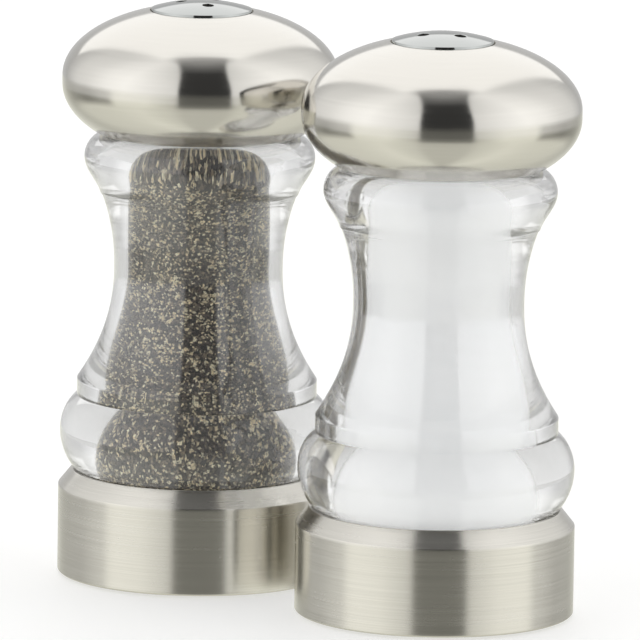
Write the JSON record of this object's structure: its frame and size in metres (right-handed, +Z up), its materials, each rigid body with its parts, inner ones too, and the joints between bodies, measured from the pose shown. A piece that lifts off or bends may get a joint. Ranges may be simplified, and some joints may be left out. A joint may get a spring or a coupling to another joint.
{
  "type": "salt and pepper shakers",
  "caption": "Pair of clear acrylic salt and pepper shakers with waisted bodies, domed steel screw caps and brushed steel base rings, filled.",
  "frame": {"origin": "on the table plane, midway between the two shakers' axes", "axes": "+X from the pepper shaker's axis to the salt shaker's axis, +Z up, +Y away from the front"},
  "size_m": [0.127, 0.0604, 0.127],
  "materials": {
    "cap_steel": "satin-polished stainless steel, faint turned lines",
    "disc_steel": "polished",
    "base_steel": "fine brushing round the ring",
    "clear_acrylic": "clear, polished",
    "insert_plastic": "moulded, matte",
    "plug_plastic": "moulded, matte",
    "seal_silicone": "translucent silicone",
    "pad_rubber": "fine-textured, matte",
    "salt_grains": "fine white grains",
    "pepper_grains": "coarse dark grains with tan flakes"
  },
  "bodies": {
    "salt_shaker": {"salt_bottle": "clear_acrylic", "salt_base_ring": "base_steel", "salt_base_plug": "plug_plastic", "salt_plug_seal": "seal_silicone", "salt_foot_pad": "pad_rubber", "salt_fill": "salt_grains"},
    "salt_seal": {"salt_cap_washer": "seal_silicone"},
    "salt_cap": {"salt_cap_shell": "cap_steel", "salt_cap_insert": "insert_plastic", "salt_shaker_disc": "disc_steel"},
    "pepper_shaker": {"pepper_bottle": "clear_acrylic", "pepper_base_ring": "base_steel", "pepper_base_plug": "plug_plastic", "pepper_plug_seal": "seal_silicone", "pepper_foot_pad": "pad_rubber", "pepper_fill": "pepper_grains"},
    "pepper_seal": {"pepper_cap_washer": "seal_silicone"},
    "pepper_cap": {"pepper_cap_shell": "cap_steel", "pepper_cap_insert": "insert_plastic", "pepper_shaker_disc": "disc_steel"}
  },
  "joints": [
    {"name": "pepper_lift", "type": "slide", "parent": "salt_shaker", "child": "pepper_shaker", "axis": [0, 0, 1], "range_m": [0, 0.16]},
    {"name": "salt_cap_rise", "type": "slide", "parent": "salt_shaker", "child": "salt_seal", "axis": [0, 0, 1], "range_m": [0, 0.018]},
    {"name": "salt_cap_turn", "type": "hinge", "parent": "salt_seal", "child": "salt_cap", "pos_m": [0.03325, 0, 0.1085], "axis": [0, 0, 1], "range_deg": [0, 1800]},
    {"name": "pepper_cap_rise", "type": "slide", "parent": "pepper_shaker", "child": "pepper_seal", "axis": [0, 0, 1], "range_m": [0, 0.018]},
    {"name": "pepper_cap_turn", "type": "hinge", "parent": "pepper_seal", "child": "pepper_cap", "pos_m": [-0.03325, 0, 0.1085], "axis": [0, 0, 1], "range_deg": [0, 1800]}
  ],
  "couplings": [
    {"joint": "salt_cap_rise", "follows": "salt_cap_turn", "m_per_rad": 0.00057296},
    {"joint": "pepper_cap_rise", "follows": "pepper_cap_turn", "m_per_rad": 0.00057296}
  ]
}
